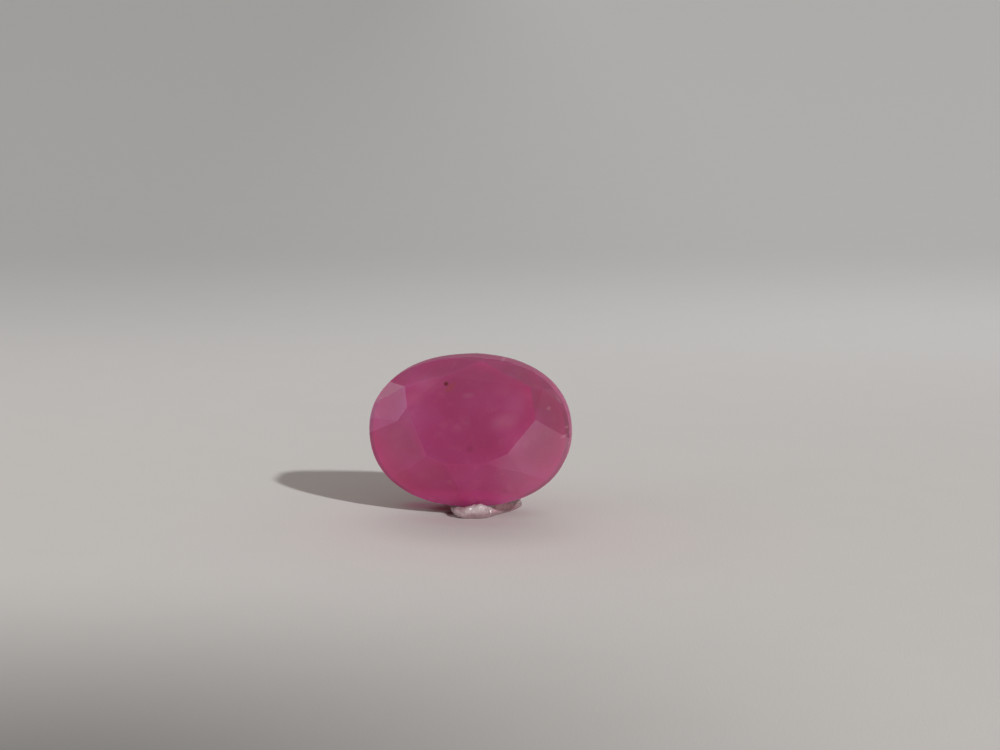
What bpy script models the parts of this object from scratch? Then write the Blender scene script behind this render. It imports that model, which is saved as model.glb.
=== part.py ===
"""Oval faceted ruby, standing on its long edge in a small dab of clear gel.

The stone is cut as a gem cutter works: an oval blank is ground, then flat facets are laid on
it one plane at a time. It is cut lying down with its table up, then stood on its edge so that
the table faces -Y. The origin is at the middle of the footprint, on the surface it stands on.
"""
import math

import bmesh
import bpy
from mathutils import Matrix, Vector

# The stone's driving sizes, in metres.
STONE_LENGTH = 0.0100
STONE_WIDTH = 0.00754
OUTLINE_FULLNESS = 2.19          # 2 is a true ellipse, more is fuller at the shoulders
OUTLINE_TURN = 3.3               # the outline is turned a little against the facets
OUTLINE_SEGMENTS = 80
GIRDLE_THICKNESS = 0.00085
CROWN_HEIGHT = 0.00100           # girdle to table, above the middle of the stone
PAVILION_DEPTH = 0.00290         # girdle to culet
TABLE_SLOPE = (-0.070, -0.120)   # the table is not quite parallel to the girdle
CULET_CENTRE = (0.00010, 0.00015)
CULET_HALF_LENGTH = 0.00045

# Corners of the table, one for each main facet of the crown, with the way that facet faces
# and how far down the crown the star facet after it reaches.
TABLE_CORNERS = (
    (0.00340, 0.00090, 12.9, 0.34),
    (0.00312, 0.00250, 65.7, 0.31),
    (-0.00105, 0.00294, 103.3, 0.06),
    (-0.00288, 0.00138, 165.8, 0.25),
    (-0.00187, -0.00095, 199.5, 0.45),
    (-0.00103, -0.00133, 251.0, 0.40),
    (0.00099, -0.00128, 289.0, 0.42),
    (0.00206, -0.00079, 341.7, 0.64),
)
PAVILION_MAINS = 8
LOWER_FACET_REACH = 0.62         # how far from girdle to culet the lower facets reach
CULET_NARROWING = 0.45           # how much shorter the culet is across than along the stone
SPLIT_FACET_SHARES = (0.28, 0.72)  # where the two small facets between mains face, part of the way
SAME_POINT = 0.000002            # corners closer than this are one corner
CUT_TOLERANCE = 0.00000002

# Small chips knocked out of the front edge of the girdle: direction in degrees, and size.
GIRDLE_CHIPS = ((61.0, 0.00013), (2.0, 0.00011), (-6.0, 0.00009), (152.0, 0.00008))
CHIP_STAND_OFF = 0.55            # how far outside the edge a chip's middle lies, in chip sizes
CHIP_RISE = 0.35
CHIP_STRETCH = (0.9, 1.7, 1.0)   # chips run along the girdle
CHIP_SUBDIVISIONS = 2
RIM_STEPS = 360                  # places on the outline that are tried for the middle of a chip

# How the stone stands, and the gel around its foot.
STONE_LIFT = 0.00049             # thickness of gel under the lowest point of the girdle
GEL_GAP = 0.00005                # room between stone and gel
GEL_CRINKLE = 0.00004
CRINKLE_TURNS = (2.4, 1.9)       # from one corner, and from one ring, of the gel to the next, in radians
GEL_MIDDLE = (0.00030, 0.00050)

# Outline of the gel on the surface, seen from above: x and y from the middle of the girdle, the
# height of its shoulder there, and how far it leans out over its foot.
GEL_OUTLINE = (
    (-0.00014, -0.00080, 0.00050, 0.00028), (0.00020, -0.00086, 0.00061, 0.00004),
    (0.00054, -0.00082, 0.00067, 0.00000), (0.00084, -0.00068, 0.00067, 0.00000),
    (0.00106, -0.00044, 0.00062, 0.00000), (0.00128, -0.00006, 0.00060, 0.00000),
    (0.00158, 0.00036, 0.00058, 0.00000), (0.00196, 0.00092, 0.00050, 0.00000),
    (0.00226, 0.00178, 0.00034, 0.00000), (0.00208, 0.00235, 0.00055, 0.00000),
    (0.00130, 0.00265, 0.00085, 0.00000), (0.00000, 0.00275, 0.00090, 0.00000),
    (-0.00120, 0.00262, 0.00085, 0.00000), (-0.00185, 0.00200, 0.00065, 0.00000),
    (-0.00142, 0.00100, 0.00052, 0.00000), (-0.00092, 0.00016, 0.00046, 0.00010),
    (-0.00046, -0.00038, 0.00044, 0.00046),
)

# The rings that the gel is built on, from its foot to its top: how far out towards the outline,
# how far up to the shoulder, and how much of the lean shows.
GEL_RINGS = (
    (1.00, 0.00, 0.0), (1.02, 0.35, 0.7), (1.00, 0.75, 1.0), (0.90, 1.00, 0.6), (0.45, 1.04, 0.0),
)

RUBY_COLOUR = (0.36, 0.016, 0.10, 1.0)
RUBY_ROUGHNESS = 0.12
RUBY_TRANSMISSION = 0.0
GEL_COLOUR = (0.80, 0.62, 0.64, 1.0)
GEL_ROUGHNESS = 0.10
GEL_TRANSMISSION = 0.8


def make_material(name, colour, roughness, transmission):
    """A plain Principled material."""
    material = bpy.data.materials.new(name)
    material.use_nodes = True
    shader = material.node_tree.nodes["Principled BSDF"]
    shader.inputs["Base Color"].default_value = colour
    shader.inputs["Roughness"].default_value = roughness
    shader.inputs["Metallic"].default_value = 0.0
    shader.inputs["Transmission Weight"].default_value = transmission
    return material


def add_object(name, bm, material):
    """Turns a bmesh into a named object with flat faces."""
    mesh = bpy.data.meshes.new(name)
    bm.to_mesh(mesh)
    bm.free()
    mesh.materials.append(material)
    part = bpy.data.objects.new(name, mesh)
    bpy.context.collection.objects.link(part)
    return part


def oval_point(turn, spread):
    """A point of the girdle outline, moved out by spread."""
    power = 2 / OUTLINE_FULLNESS
    x = math.copysign(abs(math.cos(turn)) ** power, math.cos(turn))
    y = math.copysign(abs(math.sin(turn)) ** power, math.sin(turn))
    point = Vector((x * (STONE_LENGTH / 2 + spread), y * (STONE_WIDTH / 2 + spread), 0))
    return Matrix.Rotation(math.radians(OUTLINE_TURN), 3, "Z") @ point


def oval_reach(facing):
    """How far the girdle reaches in one direction."""
    turns = (2 * math.pi * step / OUTLINE_SEGMENTS for step in range(OUTLINE_SEGMENTS))
    return max(oval_point(turn, 0).dot(facing) for turn in turns)


def heading(degrees):
    """The flat direction at an angle from +X."""
    return Vector((math.cos(math.radians(degrees)), math.sin(math.radians(degrees)), 0))


def table_height(x, y):
    """Height of the table plane above the middle of the girdle."""
    slope_x, slope_y = TABLE_SLOPE
    return GIRDLE_THICKNESS / 2 + CROWN_HEIGHT + slope_x * x + slope_y * y


def facet_to_girdle(start, degrees):
    """The plane that runs from a point down, or up, to the girdle's edge in one direction."""
    facing = heading(degrees)
    side = 1 if start.z > 0 else -1
    rise = abs(start.z) - GIRDLE_THICKNESS / 2
    run = oval_reach(facing) - start.dot(facing)
    tilt = math.atan2(rise, run)
    normal = facing * math.sin(tilt) + Vector((0, 0, side * math.cos(tilt)))
    return start, normal


def facet_through(a, b, c):
    """The plane through three points, facing away from the middle of the stone."""
    normal = (b - a).cross(c - a).normalized()
    return a, normal if normal.dot(a) > 0 else -normal


def meeting_point(plane_a, plane_b, level):
    """Where two facets cross at one height."""
    rows = Matrix((plane_a[1], plane_b[1], Vector((0, 0, 1))))
    sides = Vector((plane_a[1].dot(plane_a[0]), plane_b[1].dot(plane_b[0]), level))
    return rows.inverted() @ sides


def turn_between(start, end, share):
    """A direction part of the way round from one direction to the next."""
    return start + ((end - start) % 360) * share


def crown_facets():
    """Table, mains, stars and upper girdle facets."""
    slope_x, slope_y = TABLE_SLOPE
    table = (Vector((0, 0, table_height(0, 0))), Vector((-slope_x, -slope_y, 1)).normalized())
    corners = [Vector((x, y, table_height(x, y))) for x, y, degrees, drop in TABLE_CORNERS]
    facings = [degrees for x, y, degrees, drop in TABLE_CORNERS]
    mains = [facet_to_girdle(corner, facing) for corner, facing in zip(corners, facings)]
    facets = [table] + mains
    for index, corner in enumerate(corners):
        after = (index + 1) % len(corners)
        top = (corner.z + corners[after].z) / 2
        level = top - TABLE_CORNERS[index][3] * (top - GIRDLE_THICKNESS / 2)
        knee = meeting_point(mains[index], mains[after], level)
        facets.append(facet_through(corner, corners[after], knee))
        for share in SPLIT_FACET_SHARES:
            facing = turn_between(facings[index], facings[after], share)
            facets.append(facet_to_girdle(knee, facing))
    return facets


def pavilion_facets():
    """Culet, mains and lower girdle facets."""
    bottom = -GIRDLE_THICKNESS / 2 - PAVILION_DEPTH
    centre = Vector((*CULET_CENTRE, bottom))
    culet = (centre, Vector((0, 0, -1)))
    facings = [360 * (index + 0.5) / PAVILION_MAINS for index in range(PAVILION_MAINS)]
    mains = []
    for degrees in facings:
        facing = heading(degrees)
        reach = CULET_HALF_LENGTH * (1 - CULET_NARROWING * (1 - abs(facing.x)))
        mains.append(facet_to_girdle(centre + facing * reach, degrees))
    facets = [culet] + mains
    for index, degrees in enumerate(facings):
        after = (index + 1) % PAVILION_MAINS
        level = -GIRDLE_THICKNESS / 2 - PAVILION_DEPTH * LOWER_FACET_REACH
        knee = meeting_point(mains[index], mains[after], level)
        for share in SPLIT_FACET_SHARES:
            facing = turn_between(degrees, facings[after], share)
            facets.append(facet_to_girdle(knee, facing))
    return facets


def grind(bm, plane, spread):
    """Cuts away what stands outside a facet, and closes the cut with one flat face."""
    point, normal = plane
    everything = bm.verts[:] + bm.edges[:] + bm.faces[:]
    bmesh.ops.bisect_plane(
        bm, geom=everything, dist=CUT_TOLERANCE, plane_co=point + normal * spread,
        plane_no=normal, clear_outer=True)
    rim = [edge for edge in bm.edges if edge.is_boundary]
    if rim:
        bmesh.ops.holes_fill(bm, edges=rim, sides=0)


def cut_stone(spread):
    """The whole stone, with every face moved out by spread."""
    bm = bmesh.new()
    tall = STONE_WIDTH
    turns = [2 * math.pi * step / OUTLINE_SEGMENTS for step in range(OUTLINE_SEGMENTS)]
    floor = [bm.verts.new(oval_point(turn, spread) - Vector((0, 0, tall))) for turn in turns]
    blank = bmesh.ops.extrude_face_region(bm, geom=[bm.faces.new(floor)])
    raised = [item for item in blank["geom"] if isinstance(item, bmesh.types.BMVert)]
    bmesh.ops.translate(bm, verts=raised, vec=(0, 0, 2 * tall))
    for plane in crown_facets() + pavilion_facets():
        grind(bm, plane, spread)
    bmesh.ops.remove_doubles(bm, verts=bm.verts[:], dist=SAME_POINT)
    bmesh.ops.dissolve_degenerate(bm, edges=bm.edges[:], dist=SAME_POINT)
    bmesh.ops.recalc_face_normals(bm, faces=bm.faces[:])
    return bm


def stand_up(bm, girdle_y):
    """Turns the stone from lying table up to standing with its table towards -Y."""
    centre_height = STONE_LIFT + oval_reach(Vector((0, -1, 0)))
    place = Matrix.Translation((0, girdle_y, centre_height)) @ Matrix.Rotation(math.pi / 2, 4, "X")
    bmesh.ops.transform(bm, matrix=place, verts=bm.verts[:])


def cut_by(part, cutter):
    """Takes the cutter's shape out of a part."""
    cutter.hide_render = True
    cutter.display_type = "WIRE"
    tool = part.modifiers.new(cutter.name, "BOOLEAN")
    tool.operation = "DIFFERENCE"
    tool.solver = "EXACT"
    tool.object = cutter


def chip_cutter(material, girdle_y):
    """Rough balls, apart from each other, that bite small chips out of the girdle."""
    bm = bmesh.new()
    for degrees, size in GIRDLE_CHIPS:
        facing = heading(degrees)
        turns = (2 * math.pi * step / RIM_STEPS for step in range(RIM_STEPS))
        rim = max((oval_point(turn, 0) for turn in turns), key=lambda point: point.dot(facing))
        front_edge = rim + Vector((0, 0, GIRDLE_THICKNESS / 2))
        middle = front_edge + facing * size * CHIP_STAND_OFF + Vector((0, 0, size * CHIP_RISE))
        place = Matrix.Translation(middle) @ Matrix.Rotation(math.radians(degrees), 4, "Z")
        stretch = Matrix.Diagonal((*CHIP_STRETCH, 1.0))
        bmesh.ops.create_icosphere(
            bm, subdivisions=CHIP_SUBDIVISIONS, radius=size, matrix=place @ stretch)
    stand_up(bm, girdle_y)
    return add_object("girdle_chip_cutter", bm, material)


def make_ruby(material, girdle_y):
    """The stone, with its chips cut by a Boolean."""
    bm = cut_stone(0)
    stand_up(bm, girdle_y)
    ruby = add_object("ruby", bm, material)
    cut_by(ruby, chip_cutter(material, girdle_y))
    return ruby


def gel_ring(number, reach, rise, lean_share, girdle_y):
    """One closed ring of the gel's surface."""
    middle = Vector((*GEL_MIDDLE, 0))
    corner_turn, ring_turn = CRINKLE_TURNS
    ring = []
    for index, (x, y, shoulder, lean) in enumerate(GEL_OUTLINE):
        edge = Vector((x, y, 0)) - middle
        wobble = GEL_CRINKLE * math.sin(corner_turn * index + ring_turn * number) if rise else 0
        place = middle + edge * reach + edge.normalized() * (wobble + lean * lean_share)
        ring.append(place + Vector((0, girdle_y, shoulder * rise + wobble / 2)))
    return ring


def make_gel(material, girdle_y):
    """A crinkled lump with a flat underside, hollowed by the foot of the stone."""
    bm = bmesh.new()
    loops = []
    for number, (reach, rise, lean_share) in enumerate(GEL_RINGS):
        ring = gel_ring(number, reach, rise, lean_share, girdle_y)
        loops.append([bm.verts.new(place) for place in ring])
    count = len(GEL_OUTLINE)
    for lower, upper in zip(loops, loops[1:]):
        for index in range(count):
            after = (index + 1) % count
            bm.faces.new((lower[index], lower[after], upper[after], upper[index]))
    bm.faces.new(loops[0])
    bm.faces.new(loops[-1])
    bmesh.ops.recalc_face_normals(bm, faces=bm.faces[:])
    gel = add_object("clear_gel_dab", bm, material)
    foot = cut_stone(GEL_GAP)
    stand_up(foot, girdle_y)
    cut_by(gel, add_object("stone_foot_cutter", foot, material))
    return gel


def clear_scene():
    """Removes the objects that are already there."""
    for old in list(bpy.data.objects):
        bpy.data.objects.remove(old, do_unlink=True)


def main():
    clear_scene()
    highest = max(table_height(x, y) for x, y, degrees, drop in TABLE_CORNERS)
    lowest = GIRDLE_THICKNESS / 2 + PAVILION_DEPTH
    girdle_y = (highest - lowest) / 2
    cloudy = make_material("ruby", RUBY_COLOUR, RUBY_ROUGHNESS, RUBY_TRANSMISSION)
    clear = make_material("clear_gel", GEL_COLOUR, GEL_ROUGHNESS, GEL_TRANSMISSION)
    make_ruby(cloudy, girdle_y)
    make_gel(clear, girdle_y)


main()
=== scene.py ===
from math import acos, atan2, cos, degrees, pi, radians, sin, tan

import bmesh
import bpy
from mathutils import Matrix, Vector, noise


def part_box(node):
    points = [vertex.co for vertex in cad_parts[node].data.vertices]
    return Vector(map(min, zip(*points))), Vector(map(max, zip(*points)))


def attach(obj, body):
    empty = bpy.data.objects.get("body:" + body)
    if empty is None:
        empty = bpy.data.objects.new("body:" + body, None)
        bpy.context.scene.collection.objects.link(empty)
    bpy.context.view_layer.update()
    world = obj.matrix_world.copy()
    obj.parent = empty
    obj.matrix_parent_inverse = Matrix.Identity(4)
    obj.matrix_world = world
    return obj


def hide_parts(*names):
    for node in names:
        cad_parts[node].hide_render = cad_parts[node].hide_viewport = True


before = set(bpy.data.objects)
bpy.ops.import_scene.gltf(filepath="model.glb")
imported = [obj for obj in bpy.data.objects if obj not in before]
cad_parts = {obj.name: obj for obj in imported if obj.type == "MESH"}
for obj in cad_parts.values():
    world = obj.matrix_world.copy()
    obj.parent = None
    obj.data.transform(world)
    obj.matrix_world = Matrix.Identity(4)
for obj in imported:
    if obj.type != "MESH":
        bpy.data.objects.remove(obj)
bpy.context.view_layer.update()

mm = 0.001
stoneLow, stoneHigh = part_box("ruby")
girdleY = -0.83 * mm  # the middle of the girdle, a little in front of the footprint's middle
stoneMiddle = Vector((0, girdleY, (stoneLow.z + stoneHigh.z) / 2))

bpy.context.scene.view_settings.view_transform = "Standard"
bpy.context.scene.view_settings.look = "None"


class Wire:
    # one socket; arithmetic on it adds Math nodes
    def __init__(self, finish, socket):
        self.finish = finish
        self.socket = socket

    def math(self, operation, first, second=None, clamp=False):
        values = {0: first}
        if second is not None:
            values[1] = second
        return self.finish.node("ShaderNodeMath", {"operation": operation, "use_clamp": clamp}, values)

    def __add__(self, other):
        return self.math("ADD", self, other)

    def __radd__(self, other):
        return self.math("ADD", other, self)

    def __sub__(self, other):
        return self.math("SUBTRACT", self, other)

    def __rsub__(self, other):
        return self.math("SUBTRACT", other, self)

    def __mul__(self, other):
        return self.math("MULTIPLY", self, other)

    def __rmul__(self, other):
        return self.math("MULTIPLY", other, self)

    def __truediv__(self, other):
        return self.math("DIVIDE", self, other)

    def __pow__(self, other):
        return self.math("POWER", self, other)

    def __abs__(self):
        return self.math("ABSOLUTE", self)

    def clamped(self):
        return self.math("ADD", self, 0.0, clamp=True)

    def larger(self, other):
        return self.math("MAXIMUM", self, other)


class Finish:
    # a material, and the one way that nodes get into it
    def __init__(self, name):
        self.material = bpy.data.materials.new(name)
        self.material.use_nodes = True
        self.tree = self.material.node_tree
        self.tree.nodes.clear()

    def node(self, kind, settings=None, values=None, out=0):
        made = self.tree.nodes.new(kind)
        for key, value in (settings or {}).items():
            setattr(made, key, value)
        for key, value in (values or {}).items():
            if isinstance(value, Wire):
                self.tree.links.new(value.socket, made.inputs[key])
            else:
                made.inputs[key].default_value = value
        return Wire(self, made.outputs[out]) if made.outputs else made

    def blend(self, below, above, share):
        return self.node("ShaderNodeMix", {"data_type": "RGBA"}, {0: share, 6: below, 7: above}, out=2)

    def spread(self, value, low, high, toLow=0.0, toHigh=1.0):
        # eases a value from one range to another, and holds it inside
        return self.node("ShaderNodeMapRange", {"interpolation_type": "SMOOTHSTEP"},
                         {0: value, 1: low, 2: high, 3: toLow, 4: toHigh})

    def place(self):
        # the place on the object, in millimetres
        spot = self.node("ShaderNodeTexCoord", out="Object")
        return self.scaled(spot, 1 / mm)

    def scaled(self, vector, amount):
        return self.node("ShaderNodeVectorMath", {"operation": "SCALE"}, {0: vector, "Scale": amount})

    def axes(self, vector):
        return (self.node("ShaderNodeSeparateXYZ", {}, {0: vector}, out=axis) for axis in "XYZ")

    def grain(self, where, scale, detail=3.0, rough=0.5, stretch=None, warp=0.0):
        # soft noise about 0.5, scale in cells for each millimetre
        if stretch:
            where = self.node("ShaderNodeVectorMath", {"operation": "MULTIPLY"},
                              {0: where, 1: stretch})
        return self.node("ShaderNodeTexNoise", {}, {
            "Vector": where, "Scale": scale, "Detail": detail, "Roughness": rough, "Distortion": warp})

    def near(self, where, spot, reach, turn=0.0, soft=0.35):
        # 1 inside an ellipse on the face of the stone, easing to 0 outside it
        moved = self.node("ShaderNodeVectorMath", {"operation": "SUBTRACT"}, {0: where, 1: spot})
        turned = self.node("ShaderNodeVectorRotate", {"rotation_type": "Y_AXIS"},
                           {"Vector": moved, "Angle": radians(turn)})
        sized = self.node("ShaderNodeVectorMath", {"operation": "DIVIDE"}, {0: turned, 1: reach})
        away = self.node("ShaderNodeVectorMath", {"operation": "LENGTH"}, {0: sized}, out="Value")
        return self.spread(away, 1.0 + soft, 1.0 - soft)

    def bumps(self, height, strength, distance):
        return self.node("ShaderNodeBump", {}, {"Height": height, "Strength": strength, "Distance": distance})

    def attribute(self, name):
        return self.node("ShaderNodeAttribute", {"attribute_name": name}, out="Fac")

    def finishWith(self, shader):
        self.node("ShaderNodeOutputMaterial", {}, {"Surface": shader})
        return self.material


cameraSet = {
    "azimuth": 10.0,          # degrees to the right of straight on
    "elevation": 13.5,
    "distance": 109.3 * mm,
    "lens": 79.8,
    "sensor": 36,
    "sees": (0.005, 20),      # from and to, in metres
    "aimRight": 1.472 * mm,   # where it looks, from the middle of the stone
    "aimUp": 2.719 * mm,
}


def direction(azimuth, elevation):
    turn, rise = radians(azimuth), radians(elevation)
    return Vector((sin(turn) * cos(rise), -cos(turn) * cos(rise), sin(rise)))


def makeCamera():
    camera = bpy.data.objects.new("camera", bpy.data.cameras.new("camera"))
    bpy.context.scene.collection.objects.link(camera)
    camera.data.lens = cameraSet["lens"]
    camera.data.sensor_width = cameraSet["sensor"]
    camera.data.clip_start, camera.data.clip_end = cameraSet["sees"]
    away = direction(cameraSet["azimuth"], cameraSet["elevation"])
    camera.location = stoneMiddle + away * cameraSet["distance"]
    right = direction(cameraSet["azimuth"] + 90, 0)
    up = away.cross(right)
    aim = stoneMiddle + right * cameraSet["aimRight"] + up * cameraSet["aimUp"]
    camera.rotation_euler = (aim - camera.location).to_track_quat("-Z", "Y").to_euler()
    bpy.context.scene.camera = camera


makeCamera()
print("camera placed")

studioSet = {
    "paperNear": (0.600, 0.588, 0.576),
    "paperFar": (0.598, 0.604, 0.606),
    "farFrom": (2.0, 60.0),
    "tone": (0.940, 0.03),               # how light it is, and how much the mottle adds
    "mottleCells": 0.35,                 # for each millimetre
    "fibreCells": 7.0,
    "fibreBump": (0.25, 0.00003),
    "roughness": 0.85,
    "gloss": 0.2,
    "falloffTurn": 10.0,                 # painted light falloff: it darkens along this direction, and across it
    "nearCorner": (-9.0, -38.0, 0.0, 0.62),
    "nearCornerSide": (20.0, -16.0),
    "beyond": (38.0, 88.0, 1.060, 0.84),
    "beyondSide": (15.0, 60.0),
    "beyondTilt": (-36.0, 36.0, -0.11, 0.09),
    "paintedPinkGlow": (0.600, 0.538, 0.534),      # painted light: the paper round the stone, a little pink from the light the stone throws
    "pinkGlowAt": (1.6, -3.5, 9.0, 6.0, 0.9),
    "pinkGlowShare": (0.45, 0.5),
    # painted shade in front of the foot: x, y, half length, half width, softness, then how much darker
    "footShadeAt": (0.4, -3.0, 3.8, 2.6, 0.9),
    "footShade": 0.20,
    "paperSize": 1.6,
    "paperSink": 0.002 * mm,             # so that it doesn't share the foot's surface
    # red light and shade on the paper round the foot: colour, x, y, half length, half width, strength
    "pinkLight": (0.600, 0.310, 0.420),
    "redShade": (0.340, 0.070, 0.130),
    "wineShade": (0.180, 0.020, 0.045),
    "spotSoft": 0.8,
    "footSpots": (
        ("pinkLight", -2.50, 0.30, 1.00, 0.60, 0.90), ("redShade", -1.50, -0.10, 0.62, 0.50, 0.90),
        ("wineShade", -0.98, -0.80, 0.32, 0.36, 0.95), ("redShade", 1.75, -0.35, 1.30, 0.80, 0.16),
        ("redShade", 0.10, -2.10, 2.60, 0.90, 0.12),
    ),
    "skyColour": (0.364, 0.328, 0.306),
    "keyColour": (1.0, 1.02, 1.025),
    "keyStrength": 2.35,
    "keyAzimuth": 53.0,       # to the right of straight on
    "keyElevation": 35.8,
    "keySize": 2.5,           # degrees across
    "leftAzimuth": -72.0,
    "leftElevation": 9.0,
    "leftSize": (0.34, 0.26),
    "leftDistance": 0.42,
    "leftColour": (0.88, 0.94, 1.0),
    "leftGlow": 1.20,         # radiance of the soft panel
}


def paperFinish():
    finish = Finish("paper")
    where = finish.place()
    mottle = finish.grain(where, studioSet["mottleCells"])
    fibre = finish.grain(where, studioSet["fibreCells"], rough=0.6, stretch=(1.0, 0.35, 1.0))
    x, y, z = finish.axes(where)

    def spotOn(spotX, spotY, wide, deep, soft):
        return finish.near(where, (spotX, spotY, 0.0), (wide, deep, 9.0), 0, soft)

    # painted light falloff: it darkens towards the near left corner, and beyond the paper, most at the left
    turn = radians(studioSet["falloffTurn"])
    toRight, away = x * cos(turn) + y * sin(turn), y * cos(turn) - x * sin(turn)
    corner = finish.spread(away, *studioSet["nearCorner"])
    corner = corner * finish.spread(toRight, *studioSet["nearCornerSide"])
    far = finish.spread(away, *studioSet["beyond"])
    tilt = finish.spread(toRight, *studioSet["beyondTilt"])
    farSide = 1.0 + finish.spread(away, *studioSet["beyondSide"]) * tilt
    light, lighter = studioSet["tone"]
    tone = (1.0 - corner) * far * farSide * (light + lighter * mottle)
    colour = finish.blend((*studioSet["paperNear"], 1.0), (*studioSet["paperFar"], 1.0),
                          finish.spread(y, *studioSet["farFrom"]))
    # painted light: the pink that the stone throws on the paper round its foot
    share, more = studioSet["pinkGlowShare"]
    paintedPinkGlow = spotOn(*studioSet["pinkGlowAt"]) * (share + more * mottle)
    colour = finish.blend(colour, (*studioSet["paintedPinkGlow"], 1.0), paintedPinkGlow)
    # painted shade in front of the foot
    tone = tone * (1.0 - studioSet["footShade"] * spotOn(*studioSet["footShadeAt"]))
    for shade, spotX, spotY, wide, deep, strength in studioSet["footSpots"]:
        spot = spotOn(spotX, spotY, wide, deep, studioSet["spotSoft"])
        colour = finish.blend(colour, (*studioSet[shade], 1.0), spot * strength)
    bump = finish.bumps(fibre, *studioSet["fibreBump"])
    shader = finish.node("ShaderNodeBsdfPrincipled", {}, {
        "Base Color": finish.scaled(colour, tone), "Roughness": studioSet["roughness"],
        "Specular IOR Level": studioSet["gloss"], "Normal": bump})
    return finish.finishWith(shader)


def makeStudio():
    bm = bmesh.new()
    bmesh.ops.create_grid(bm, x_segments=2, y_segments=2, size=studioSet["paperSize"])
    mesh = bpy.data.meshes.new("paper")
    bm.to_mesh(mesh)
    bm.free()
    mesh.materials.append(paperFinish())
    paper = bpy.data.objects.new("paper", mesh)
    bpy.context.scene.collection.objects.link(paper)
    paper.location.z = -studioSet["paperSink"]

    world = bpy.data.worlds.new("studio")
    bpy.context.scene.world = world
    world.use_nodes = True
    world.node_tree.nodes["Background"].inputs["Color"].default_value = (*studioSet["skyColour"], 1.0)

    key = bpy.data.objects.new("keyLight", bpy.data.lights.new("keyLight", "SUN"))
    key.data.energy = studioSet["keyStrength"]
    key.data.angle = radians(studioSet["keySize"])
    key.data.color = studioSet["keyColour"]
    towards = direction(studioSet["keyAzimuth"], studioSet["keyElevation"])
    key.rotation_euler = (-towards).to_track_quat("-Z", "Y").to_euler()

    left = bpy.data.objects.new("leftPanel", bpy.data.lights.new("leftPanel", "AREA"))
    left.data.shape = "RECTANGLE"
    left.data.size, left.data.size_y = studioSet["leftSize"]
    left.data.energy = studioSet["leftGlow"] * pi * left.data.size * left.data.size_y
    left.data.color = studioSet["leftColour"]
    towards = direction(studioSet["leftAzimuth"], studioSet["leftElevation"])
    left.location = stoneMiddle + towards * studioSet["leftDistance"]
    left.rotation_euler = (-towards).to_track_quat("-Z", "Y").to_euler()
    left.visible_camera = False
    for lamp in (key, left):
        bpy.context.scene.collection.objects.link(lamp)


makeStudio()
print("studio lit")

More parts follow.
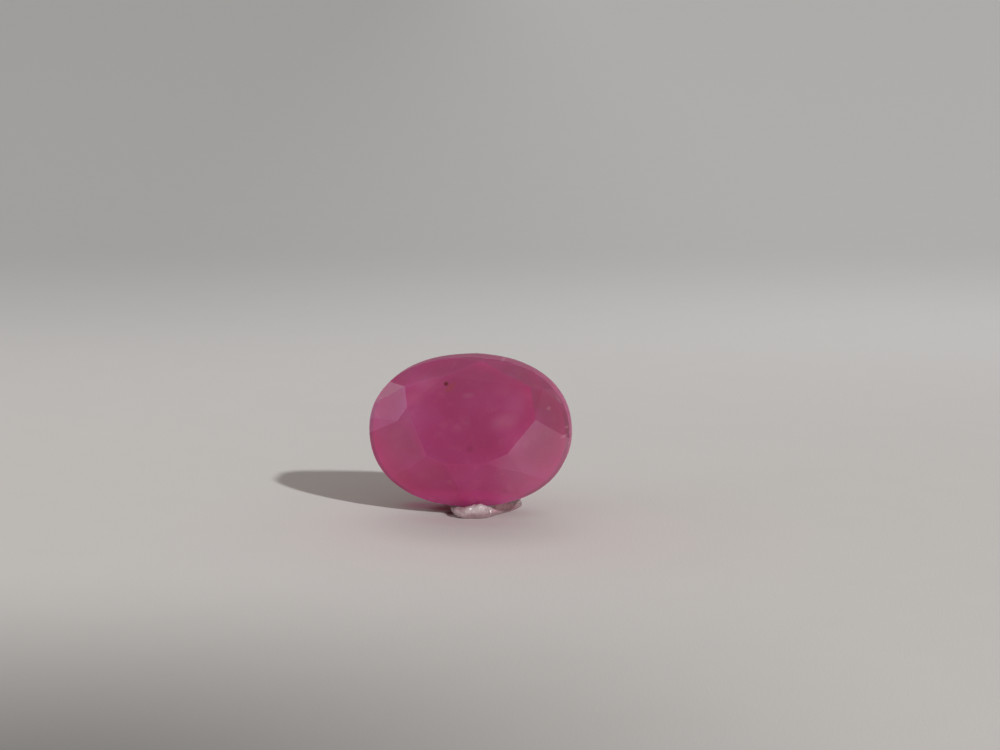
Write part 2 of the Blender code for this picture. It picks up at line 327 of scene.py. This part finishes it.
stoneSet = {
    "body": (0.350, 0.012, 0.135),      # the cloudy red inside
    "deep": (0.315, 0.004, 0.100),      # clearer, darker red
    "milk": (0.400, 0.060, 0.170),      # pale cloud
    "bloom": (0.560, 0.420, 0.450),     # dulled, whitish skin, and painted sheen
    # cool bloom and painted cool sheen
    "coolBloomAndSheen": (0.640, 0.420, 0.860),
    "dot": (0.130, 0.000, 0.006),
    "rust": (0.280, 0.016, 0.045),
    "reach": (6.0 * mm, 2.0 * mm, 3.0 * mm),  # how far red, green and blue light gets inside
    "sameCorner": 0.002 * mm,           # corners closer than this are one corner
    "oneFacet": 0.5,                    # faces that differ by fewer degrees are one facet
    "chipArea": 0.012 * mm * mm,        # a chip is smaller than this, and within so many degrees
    "chipReach": 4,
    "girdleTilt": 2,                    # degrees off straight out
    "tableTilt": 10,                    # tilts below which a facet is the table, or a star
    "starTilt": 14,
    "wornStrip": 0.040 * mm,
    "leastStrip": 0.008 * mm,           # facets with room for less get none
    "roomUsed": 0.8,                    # how much of a facet's room its strip may take
    "wornDepth": 0.002 * mm,
    "brink": (0.945, 0.975, 0.50),      # painted shade: the colour deepens towards the girdle: from, to, how much
    "brinkTop": (2.2, 0.6),             # but not at the top and the bottom: from, to
    "brinkFoot": (-3.5, -2.9),
    "band": (0.12, 0.26, 0.05, 0.40),   # painted shade on the girdle: how much darker, and at its back edge; from, to
    # painted light and shade, places made lighter or darker: x and height from the middle, half length,
    # half height, turn, how much, cool bloom and painted sheen
    "paintedGlows": (
        (-3.15, 0.33, 0.80, 1.50, 0, 0.07, 0.045), (0.20, 2.45, 2.60, 0.90, 0, 0.00, 0.030),
        (0.60, 1.00, 1.60, 0.90, 0, 0.02, 0.018), (2.45, -0.05, 0.65, 0.60, 0, 0.11, 0.045),
        (-2.60, 2.70, 1.00, 0.50, -27, 0.03, 0.030), (-0.30, 3.52, 2.40, 0.25, 0, 0.02, 0.010),
        (-0.40, -3.25, 2.00, 0.35, 0, 0.40, 0.010), (4.60, 0.20, 0.75, 2.20, 0, -0.10, -0.010),
        (2.43, 1.70, 0.55, 0.60, 0, 0.00, 0.040), (-2.30, 1.10, 0.80, 0.60, 0, 0.01, 0.045),
        (3.30, 0.70, 0.35, 0.60, 0, 0.06, 0.028), (-2.20, -1.50, 0.90, 0.60, 0, 0.08, 0.030),
        (-1.30, -2.20, 1.20, 0.50, 0, 0.04, 0.012), (1.00, -2.10, 1.00, 0.60, 0, 0.03, 0.035),
        (2.80, -1.90, 0.70, 0.60, 0, 0.02, 0.028), (2.70, 3.50, 0.80, 0.35, 20, -0.07, 0.000),
        (-4.35, 0.15, 0.35, 0.55, 0, 0.02, 0.050),
    ),
    "chipsAt": (61, 2, -6, 152),        # degrees round the stone
    "outline": (5.0, 3.77, 2.19, 3.3),  # the oval's half length and half width, fullness and turn
    "leans": (-0.040, -0.10),           # painted light and shade: the crown's colour lightens across and up, for each millimetre
    "tableShare": 0.15,                 # how much of that the table and the stars show
    "topShade": (1.7, 3.4, 0.27),       # painted shade: their top is deeper: from, to, how much
    # crown facets: from and to in degrees round the stone, from what tilt, bloom and painted sheen, cool
    # bloom and painted sheen, painted light and shade
    "facetLooks": (
        (1, 52, 0, 0.022, 0.0, 0.97), (20, 56, 36, 0.0, 0.0, 0.80), (52, 135, 0, 0.014, 0.0, 1.0),
        (60, 68, 0, -0.010, 0.0, 0.95), (135, 160, 0, 0.0, 0.012, 0.98),
        (160, 187, 0, 0.012, 0.090, 1.08), (187, 220, 0, 0.0, 0.014, 0.985),
        (220, 287, 0, -0.006, 0.006, 1.0), (-75, 1, 0, 0.0, 0.0, 1.0),
    ),
    "everywhere": 0.030,                # a trace of bloom and painted sheen all over
    "mistAndSheen": (-75, 1, 0.134),            # soft bloom and painted sheen on the lower right facets
    "mistAndSheenCool": 0.20,                   # how much of the cool bloom and painted sheen comes with it
    "mistAndSheenFrom": (0.9, 2.6),             # across the stone, where it begins and where it is full
    # soft clouds on the face: x and height from the middle, half length, half height, turn, strength
    "clouds": (
        (1.95, 0.80, 0.62, 0.36, 20, 0.95), (2.84, 2.11, 0.50, 0.28, -20, 0.35),
        (-0.41, 0.43, 0.22, 0.20, 0, 0.45), (-1.06, 0.56, 0.22, 0.18, 0, 0.35),
        (-2.51, 1.81, 0.45, 0.30, 30, 0.5), (1.81, 2.33, 0.45, 0.30, 0, 0.35),
        (2.46, 1.47, 0.75, 0.45, 60, 0.35), (-1.83, 2.55, 0.70, 0.35, 10, 0.45),
        (-3.56, -0.08, 0.55, 0.25, 40, 0.4), (-3.70, -0.80, 0.80, 0.60, 60, 0.3),
    ),
    # clearer and deeper places, the same way
    "clear": (
        (-0.65, 1.70, 0.40, 0.95, -8, 0.8), (0.45, 0.75, 0.75, 0.45, 0, 0.9),
        (0.75, -0.20, 1.00, 0.45, 0, 0.5),
    ),
    # small pale marks: x, height, half length, half height, turn, softness, strength
    "paleMarks": (
        (0.10, 2.01, 0.24, 0.12, 8, 0.7, 0.07), (4.00, 1.43, 0.09, 0.08, 20, 0.5, 0.16),
        (4.46, 1.81, 0.20, 0.035, -52, 0.5, 0.10), (3.14, 1.56, 0.05, 0.05, 0, 0.6, 0.07),
        (4.72, 0.02, 0.15, 0.07, 25, 0.5, 0.17), (4.85, 0.47, 0.07, 0.06, 0, 0.5, 0.15),
        (-4.54, 0.74, 0.36, 0.06, -52, 0.7, 0.05), (-3.08, 1.16, 0.07, 0.06, 0, 0.6, 0.07),
        (-4.36, 1.60, 0.05, 0.04, 0, 0.6, 0.10), (-4.45, 1.42, 0.04, 0.05, 0, 0.6, 0.08),
        (1.70, 3.69, 0.09, 0.05, 0, 0.5, 0.20),
    ),
    "tail": (-0.78, 2.37, 0.32, 0.13, 43, 0.6, 0.85),  # a rusty streak beside the dark dot
    "driftCells": 0.42,                 # noise cells for each millimetre
    "curdCells": 1.7,
    "fineCells": 9.0,
    "scratchCells": 3.0,
    "face": (0.45, 0.10),               # marks show from here forwards, and not behind
    "spotSoft": 0.8,
    "clearSoft": 0.9,
    "bodyFrom": (0.34, 0.60, 0.45, 1.0),
    "curdFrom": (0.50, 0.78, 0.0, 0.35),
    "cloudPart": 0.4,
    "coolPart": (0.80, 0.40),           # an even part, and a part that varies
    # skin and painted sheen: an even part, and a part that varies
    "skinAndSheenPart": (0.86, 0.28),
    "chipPale": 0.20,
    "groundPale": 0.07,
    # roughness: polished, cloudy, ground and its scratches, chipped, worn
    "rough": (0.13, 0.05, 0.34, 0.12, 0.25, 0.08),
    # fine relief: scratches of the girdle, grain, clouds
    "relief": (0.8, 0.06, 0.15),
    "reliefBump": (0.35, 0.00002),
    "ior": 1.76,
    # dark marks, the same way
    "darkMarks": (
        (-0.98, 2.56, 0.102, 0.094, 0, 0.5, 1.0), (0.24, -0.59, 0.16, 0.13, 30, 0.7, 0.30),
        (1.86, -2.85, 0.17, 0.15, 0, 0.8, 0.16),
    ),
}


def facetKind(face):
    # which part of the cut a facet belongs to, and how far round and how steep it is
    way = face.normal
    around = degrees(atan2(way.z, way.x))
    tilt = degrees(acos(max(-1, min(1, -way.y))))
    place = face.calc_center_median() - stoneMiddle
    placed = degrees(atan2(place.z, place.x))
    chipNear = any(abs(placed - chip) < stoneSet["chipReach"] for chip in stoneSet["chipsAt"])
    if face.calc_area() < stoneSet["chipArea"] and chipNear:
        return "chip", around, tilt
    if abs(tilt - 90) < stoneSet["girdleTilt"]:
        return "girdle", around, tilt
    if tilt > 90:
        return "pavilion", around, tilt
    return ("table" if tilt < stoneSet["tableTilt"] else "crown"), around, tilt


def within(around, low, high):
    return low <= around < high or low <= around + 360 < high


def facetLook(kind, around, tilt):
    # what the facet's layers hold
    look = {"bloom": 0.0, "cool": 0.0, "depth": 1.0, "mistAndSheenShare": 0.0}
    look["ground"] = 1.0 if kind == "girdle" else 0.0
    look["chipped"] = 1.0 if kind == "chip" else 0.0
    look["crown"] = {"crown": 1.0, "chip": 1.0, "table": stoneSet["tableShare"]}.get(kind, 0.5)
    if kind == "crown" and tilt < stoneSet["starTilt"]:
        look["crown"] = stoneSet["tableShare"]
    # bloom, cool bloom and painted sheen, and painted light and shade, for each crown facet
    if kind == "crown":
        for low, high, tiltFrom, bloom, cool, depth in stoneSet["facetLooks"]:
            if within(around, low, high) and tilt >= tiltFrom:
                look["bloom"], look["cool"], look["depth"] = bloom, cool, depth
        low, high, amount = stoneSet["mistAndSheen"]
        if within(around, low, high):
            look["mistAndSheenShare"] = amount
    return look


def room(face):
    # how wide a strip fits inside a facet before its shortest edge is used up
    widths = []
    for loop in face.loops:
        angles = (corner.calc_angle() for corner in (loop, loop.link_loop_next))
        used = sum(1 / tan(max(0.01, angle) / 2) for angle in angles)
        widths.append(loop.edge.calc_length() / max(0.001, used))
    return min(widths)


def makeStone():
    bm = bmesh.new()
    bm.from_mesh(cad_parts["ruby"].data)
    bmesh.ops.remove_doubles(bm, verts=bm.verts[:], dist=stoneSet["sameCorner"])
    bmesh.ops.dissolve_degenerate(bm, edges=bm.edges[:], dist=stoneSet["sameCorner"])
    bmesh.ops.dissolve_limit(bm, angle_limit=radians(stoneSet["oneFacet"]),
                             verts=bm.verts[:], edges=bm.edges[:])
    layers = {name: bm.faces.layers.float.new(name) for name in facetLook("", 0, 0)}
    for face in bm.faces:
        for name, amount in facetLook(*facetKind(face)).items():
            face[layers[name]] = amount
    # a narrow strip round each polished facet sinks a little, so that the edges look worn
    strips = {face: min(stoneSet["wornStrip"], stoneSet["roomUsed"] * room(face))
              for face in bm.faces}
    wide = [face for face in bm.faces
            if strips[face] > stoneSet["leastStrip"] and not face[layers["ground"]]]
    still = {vert for face in set(bm.faces) - set(wide) for vert in face.verts}
    for face in wide:
        bmesh.ops.inset_individual(bm, faces=[face], thickness=strips[face], use_even_offset=True)
    inner = {vert for face in wide for vert in face.verts}
    worn = bm.verts.layers.float.new("worn")
    bm.normal_update()
    for vert in bm.verts:
        if vert not in inner and vert not in still:
            vert[worn] = 1.0
            vert.co -= vert.normal * stoneSet["wornDepth"]
    mesh = bpy.data.meshes.new("faceted_ruby")
    bm.to_mesh(mesh)
    bm.free()
    stone = bpy.data.objects.new("faceted_ruby", mesh)
    bpy.context.scene.collection.objects.link(stone)
    mesh.materials.append(rubyFinish())
    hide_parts("ruby")
    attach(stone, "root")
    return stone


def rubyFinish():
    finish = Finish("ruby")
    where = finish.place()
    middle = stoneMiddle / mm
    fromMiddle = finish.node("ShaderNodeVectorMath", {"operation": "SUBTRACT"}, {0: where, 1: middle})
    across, backwards, height = finish.axes(fromMiddle)
    ground, chipped, worn, crown, depth, mistAndSheenShare = (
        finish.attribute(name) for name in ("ground", "chipped", "worn", "crown", "depth", "mistAndSheenShare"))

    drift = finish.grain(where, stoneSet["driftCells"], 4.0, 0.55, warp=0.4)
    curd = finish.grain(where, stoneSet["curdCells"], 4.0, 0.6)
    fine = finish.grain(where, stoneSet["fineCells"], rough=0.6)
    scratches = finish.grain(where, stoneSet["scratchCells"], 4.0, 0.7, stretch=(1.0, 14.0, 1.0))

    onFace = finish.spread(backwards, *stoneSet["face"])

    def spotOn(x, z, wide, tall, turn, soft):
        return finish.near(fromMiddle, (x, 0.0, z), (wide, 40.0, tall), turn, soft) * onFace

    body = finish.spread(drift, *stoneSet["bodyFrom"])
    for *spot, strength in stoneSet["clear"]:
        body = body * (1.0 - spotOn(*spot, stoneSet["clearSoft"]) * strength)
    colour = finish.blend((*stoneSet["deep"], 1.0), (*stoneSet["body"], 1.0), body)
    clouds = finish.spread(curd, *stoneSet["curdFrom"])
    for *spot, strength in stoneSet["clouds"]:
        cloud = spotOn(*spot, stoneSet["spotSoft"]) * strength
        clouds = clouds.larger(cloud * (stoneSet["cloudPart"] + curd))
    colour = finish.blend(colour, (*stoneSet["milk"], 1.0), clouds)

    # painted light and shade: the light that comes through the stone, least at the upper right, lighter or
    # darker in the painted glows
    leanAcross, leanUp = stoneSet["leans"]
    shadeFrom, shadeTo, shade = stoneSet["topShade"]
    paintedLightThrough = 1.0 + (across * leanAcross + height * leanUp) * crown
    top = finish.spread(height, shadeFrom, shadeTo, 0.0, shade)
    paintedLightThrough = paintedLightThrough * (1.0 - top * (1.0 - crown))
    even, varied = stoneSet["coolPart"]
    cool = finish.attribute("cool") * (even + varied * curd)
    # painted glows: places made lighter or darker, with painted cool sheen
    for *spot, more, coolness in stoneSet["paintedGlows"]:
        paintedGlow = spotOn(*spot, stoneSet["spotSoft"])
        paintedLightThrough = paintedLightThrough + paintedGlow * more
        cool = cool + paintedGlow * coolness
    colour = finish.scaled(colour, paintedLightThrough * depth)

    # painted shade: deeper just inside the girdle at the sides, and on the girdle itself
    halfLong, halfWide, fullness, turn = stoneSet["outline"]
    lean, rise = cos(radians(turn)), sin(radians(turn))
    alongOval = abs(across * lean + height * rise) / halfLong
    acrossOval = abs(height * lean - across * rise) / halfWide
    outwards = (alongOval ** fullness + acrossOval ** fullness) ** (1 / fullness)
    brinkFrom, brinkTo, brink = stoneSet["brink"]
    sides = finish.spread(height, *stoneSet["brinkTop"]) * finish.spread(height, *stoneSet["brinkFoot"])
    edge = finish.spread(outwards, brinkFrom, brinkTo, 0.0, brink) * sides * (1.0 - ground)
    bandShade, backShade, backFrom, backTo = stoneSet["band"]
    backEdge = finish.spread(backwards, backFrom, backTo, 0.0, backShade)
    edge = edge + ground * (bandShade + backEdge)
    colour = finish.scaled(colour, 1.0 - edge)

    # marks inside the stone, and on its face
    *spot, strength = stoneSet["tail"]
    colour = finish.blend(colour, (*stoneSet["rust"], 1.0), spotOn(*spot) * strength)
    pale = chipped * stoneSet["chipPale"]
    for *spot, strength in stoneSet["paleMarks"]:
        pale = pale.larger(spotOn(*spot) * strength)

    # whitish skin and painted sheen on the facets, with pale chips and marks
    mistAndSheen = mistAndSheenShare * finish.spread(across, *stoneSet["mistAndSheenFrom"])
    even, varied = stoneSet["skinAndSheenPart"]
    skinAndSheen = finish.attribute("bloom") + mistAndSheen + stoneSet["everywhere"]
    skinAndSheen = skinAndSheen * (even + varied * drift) + ground * stoneSet["groundPale"] + pale
    cool = cool + mistAndSheen * stoneSet["mistAndSheenCool"]
    colour = finish.blend(colour, (*stoneSet["coolBloomAndSheen"], 1.0), cool)
    colour = finish.blend(colour, (*stoneSet["bloom"], 1.0), skinAndSheen.clamped())
    for *spot, strength in stoneSet["darkMarks"]:
        colour = finish.blend(colour, (*stoneSet["dot"], 1.0), spotOn(*spot) * strength)

    polished, cloudy, matt, scratchy, broken, rubbed = stoneSet["rough"]
    rough = polished + cloudy * curd + ground * (matt + scratchy * scratches)
    rough = rough + chipped * broken + worn * rubbed
    cut, grainy, lumpy = stoneSet["relief"]
    relief = ground * scratches * cut + fine * grainy * (1.0 - ground) + curd * lumpy
    bump = finish.bumps(relief, *stoneSet["reliefBump"])
    shader = finish.node("ShaderNodeBsdfPrincipled", {"subsurface_method": "RANDOM_WALK"}, {
        "Base Color": colour, "Roughness": rough, "IOR": stoneSet["ior"], "Normal": bump,
        "Subsurface Weight": 1.0, "Subsurface Radius": stoneSet["reach"], "Subsurface Scale": 1.0})
    return finish.finishWith(shader)


stone = makeStone()
print("stone cut:", len(stone.data.polygons), "faces")

gelSet = {
    "tint": (0.86, 0.66, 0.69),
    "fold": (0.43, 0.27, 0.29),          # painted shade where it is thick and crumpled, and low down
    # a painted highlight
    "paintedHighlight": (1.00, 0.84, 0.87),
    "paintedStoneGlow": (1.00, 0.50, 0.60),          # painted red light and reflection of the stone, under the rim, where the stone shows through
    "dimRedShade": (0.54, 0.22, 0.29),          # painted shade, reddened by the stone: its thin right end
    "gelWineShade": (0.150, 0.012, 0.035),       # painted shade, dark red from the stone: at the left, behind the lip
    "clearness": 0.55,
    "roughness": 0.12,
    "ior": 1.42,
    "pitCells": 9.0,                     # for each millimetre
    "pitBump": (0.5, 0.00003),
    "crumpleCells": 2.4,
    "crumpleWarp": 1.2,
    "crumpleFrom": (0.42, 0.62, 0.0, 0.6),
    # where each colour begins and where it is full, across, back or up, then how much at each
    "frontFrom": (0.70, 0.10),
    "lowFrom": (0.38, 0.12, 0.0, 0.9),
    "lowLeft": (-0.35, 0.05),
    "paintedHighlightAt": ((0.45, -1.60, 0.49), (0.48, 9.0, 0.15), 8, 0.7),
    "stoneGlowFrom": (1.05, 1.35, 0.0, 0.75),
    "stoneGlowUp": (0.06, 0.28),
    "dimRedShadeFrom": (1.75, 2.10, 0.0, 0.90),
    "gelWineShadeFrom": (-1.25, -0.95, 0.0, 0.95),
    "gelWineShadeLeft": (-0.42, -0.62),
    # outline on the paper, in millimetres from the middle of the girdle: x, y, height of the
    # shoulder, and how far it leans out over its foot
    "outline": (
        (-0.14, -0.80, 0.55, 0.28), (0.20, -0.86, 0.63, 0.04), (0.54, -0.82, 0.67, 0.00),
        (0.84, -0.68, 0.67, 0.00), (1.06, -0.44, 0.62, 0.00), (1.28, -0.06, 0.60, 0.00),
        (1.58, 0.36, 0.58, 0.00), (1.96, 0.92, 0.50, 0.00), (2.26, 1.78, 0.34, 0.00),
        (2.08, 2.35, 0.55, 0.00), (1.30, 2.65, 0.85, 0.00), (0.00, 2.75, 0.90, 0.00),
        (-1.20, 2.62, 0.85, 0.00), (-1.85, 2.00, 0.65, 0.00), (-1.42, 1.00, 0.52, 0.00),
        (-0.92, 0.16, 0.46, 0.10), (-0.46, -0.38, 0.47, 0.46),
    ),
    "middle": (0.30, 0.50),
    "around": 200,
    # from foot to top: how far out, how far up, and how much of the lean shows
    "rings": (
        (1.00, 0.00, 0.4), (1.01, 0.10, 0.50), (1.02, 0.24, 0.68), (1.02, 0.40, 0.85),
        (1.01, 0.58, 0.97), (0.99, 0.75, 1.0), (0.96, 0.89, 0.9), (0.91, 0.98, 0.65),
        (0.84, 1.03, 0.4), (0.75, 1.05, 0.2), (0.64, 1.05, 0.0), (0.50, 1.04, 0.0),
    ),
    "wave": 0.05,            # how far its skin swells, in millimetres
    "waveCells": 1.6,
    "creases": 0.07,         # how deep the crinkles are, in millimetres
    "creasesApart": 0.48,
    "creaseNarrow": 2.2,
    "lowest": 0.01,          # the skin stays this far above the paper
}


def smoothOutline(share):
    # a point on the closed curve through the outline's corners
    corners = gelSet["outline"]
    place = share * len(corners)
    index, part = int(place) % len(corners), place % 1
    before, start, end, after = (
        Vector(corners[(index + step) % len(corners)]) for step in (-1, 0, 1, 2))
    bend = 2 * before - 5 * start + 4 * end - after
    twist = 3 * start - before - 3 * end + after
    return 0.5 * (2 * start + (end - before) * part + bend * part ** 2 + twist * part ** 3)


def gelFinish():
    finish = Finish("clear_gel")
    where = finish.place()
    pits = finish.grain(where, gelSet["pitCells"], 4.0, 0.6)
    folds = finish.grain(where, gelSet["crumpleCells"], rough=0.6, warp=gelSet["crumpleWarp"])
    x, y, z = finish.axes(where)
    front = finish.spread(y, *gelSet["frontFrom"])     # the colours of its front; the back is plain
    low = finish.spread(z, *gelSet["lowFrom"]) * finish.spread(x, *gelSet["lowLeft"])
    foldAndLowShade = finish.spread(folds, *gelSet["crumpleFrom"]).larger(low)
    paintedStoneGlow = finish.spread(x, *gelSet["stoneGlowFrom"]) * finish.spread(z, *gelSet["stoneGlowUp"]) * front
    dimRedShade = finish.spread(x, *gelSet["dimRedShadeFrom"]) * front
    gelWineShade = finish.spread(y, *gelSet["gelWineShadeFrom"]) * finish.spread(x, *gelSet["gelWineShadeLeft"]) * front
    # painted shade in the folds and low down, a painted highlight, and painted red light and shade from the
    # stone
    layers = {"fold": foldAndLowShade, "paintedHighlight": finish.near(where, *gelSet["paintedHighlightAt"]),
              "paintedStoneGlow": paintedStoneGlow, "dimRedShade": dimRedShade, "gelWineShade": gelWineShade}
    colour = (*gelSet["tint"], 1.0)
    for name, share in layers.items():
        colour = finish.blend(colour, (*gelSet[name], 1.0), share)
    bump = finish.bumps(pits, *gelSet["pitBump"])
    shader = finish.node("ShaderNodeBsdfPrincipled", {}, {
        "Base Color": colour, "Roughness": gelSet["roughness"], "IOR": gelSet["ior"],
        "Transmission Weight": gelSet["clearness"], "Normal": bump})
    return finish.finishWith(shader)


def makeGel():
    middle = Vector((*gelSet["middle"], 0))
    count = gelSet["around"]
    bm = bmesh.new()
    loops = []
    for reach, rise, leanShare in gelSet["rings"]:
        loop = []
        for step in range(count):
            x, y, shoulder, lean = smoothOutline(step / count)
            spot = Vector((x, y, 0))
            out = (spot - middle).normalized()
            place = middle + (spot - middle) * reach + out * lean * leanShare
            place.z = shoulder * rise
            if rise:
                wave = noise.noise(place * gelSet["waveCells"]) * gelSet["wave"]
                distances, cells = noise.voronoi(place / gelSet["creasesApart"])
                between = gelSet["creaseNarrow"] * (distances[1] - distances[0])
                fold = max(0, 1 - between) * gelSet["creases"]
                place += out * (wave - fold) * min(1, rise * 3)
                swell = (wave * 0.5 - fold) * min(1, rise * 2)
                place.z = max(gelSet["lowest"], place.z + swell)
            loop.append(bm.verts.new((place + Vector((0, girdleY / mm, 0))) * mm))
        loops.append(loop)
    for lower, upper in zip(loops, loops[1:]):
        for step in range(count):
            after = (step + 1) % count
            bm.faces.new((lower[step], lower[after], upper[after], upper[step]))
    bm.faces.new(loops[0])
    bm.faces.new(loops[-1])
    bmesh.ops.recalc_face_normals(bm, faces=bm.faces[:])
    mesh = bpy.data.meshes.new("gel_dab")
    bm.to_mesh(mesh)
    bm.free()
    for face in mesh.polygons:
        face.use_smooth = len(face.vertices) == 4
    gel = bpy.data.objects.new("gel_dab", mesh)
    bpy.context.scene.collection.objects.link(gel)
    mesh.materials.append(gelFinish())
    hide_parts("clear_gel_dab")
    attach(gel, "root")
    return gel


gel = makeGel()
print("gel pressed:", len(gel.data.polygons), "faces")
